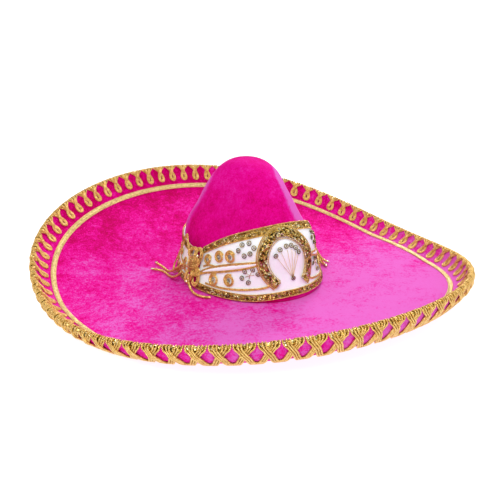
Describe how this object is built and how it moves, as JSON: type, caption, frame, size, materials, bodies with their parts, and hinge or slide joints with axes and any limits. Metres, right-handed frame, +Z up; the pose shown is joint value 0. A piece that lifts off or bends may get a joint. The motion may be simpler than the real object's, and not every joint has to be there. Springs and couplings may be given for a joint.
{
  "type": "sombrero",
  "caption": "Wide-brimmed velvet sombrero with a tall dented crown, a corded rim and an embroidered satin hat band tied by a cord knot at each side.",
  "frame": {"origin": "on the resting surface, under the middle of the hat's bounding box", "axes": "+Z up out of the crown, -Y towards the wearer's front, +X towards the wearer's left"},
  "size_m": [0.5554, 0.5654, 0.1691],
  "materials": {
    "velvet": "hot pink velvet, short dense nap",
    "board": "pressed felt",
    "wire": "drawn",
    "gold_cord": "metallic gold thread cord",
    "gold_braid": "flat metallic gold braid",
    "gold_sequin": "sequins on padding",
    "buckram": "stiffened",
    "lining": "satin",
    "satin": "white satin",
    "leather": "smooth"
  },
  "bodies": {
    "root": {"brim_under_velvet": "velvet", "brim_board": "board", "brim_edge_wire": "wire", "brim_top_velvet": "velvet", "rim_cord_trim": "gold_cord", "brim_inner_braid": "gold_braid", "crown_velvet": "velvet", "crown_shell": "buckram", "crown_lining": "lining", "sweatband": "leather", "front_band_panel": "satin", "front_band_top_braid": "gold_braid", "front_band_foot_braid": "gold_braid", "front_horseshoe": "gold_sequin", "front_horseshoe_fan": "gold_sequin", "front_right_upper_rosette": "gold_sequin", "front_right_lower_rosette": "gold_sequin", "front_right_upper_scroll": "gold_cord", "front_right_lower_scroll": "gold_cord", "front_right_leaf": "gold_cord", "front_left_upper_rosette": "gold_sequin", "front_left_lower_rosette": "gold_sequin", "front_left_upper_scroll": "gold_cord", "front_left_lower_scroll": "gold_cord", "front_left_leaf": "gold_cord", "back_band_panel": "satin", "back_band_top_braid": "gold_braid", "back_band_foot_braid": "gold_braid", "back_horseshoe": "gold_sequin", "back_horseshoe_fan": "gold_sequin", "back_right_upper_rosette": "gold_sequin", "back_right_lower_rosette": "gold_sequin", "back_right_upper_scroll": "gold_cord", "back_right_lower_scroll": "gold_cord", "back_right_leaf": "gold_cord", "back_left_upper_rosette": "gold_sequin", "back_left_lower_rosette": "gold_sequin", "back_left_upper_scroll": "gold_cord", "back_left_lower_scroll": "gold_cord", "back_left_leaf": "gold_cord", "left_knot": "gold_cord", "left_upper_tail": "gold_cord", "left_lower_tail": "gold_cord", "left_loop": "gold_cord", "right_knot": "gold_cord", "right_upper_tail": "gold_cord", "right_lower_tail": "gold_cord", "right_loop": "gold_cord"}
  },
  "joints": []
}
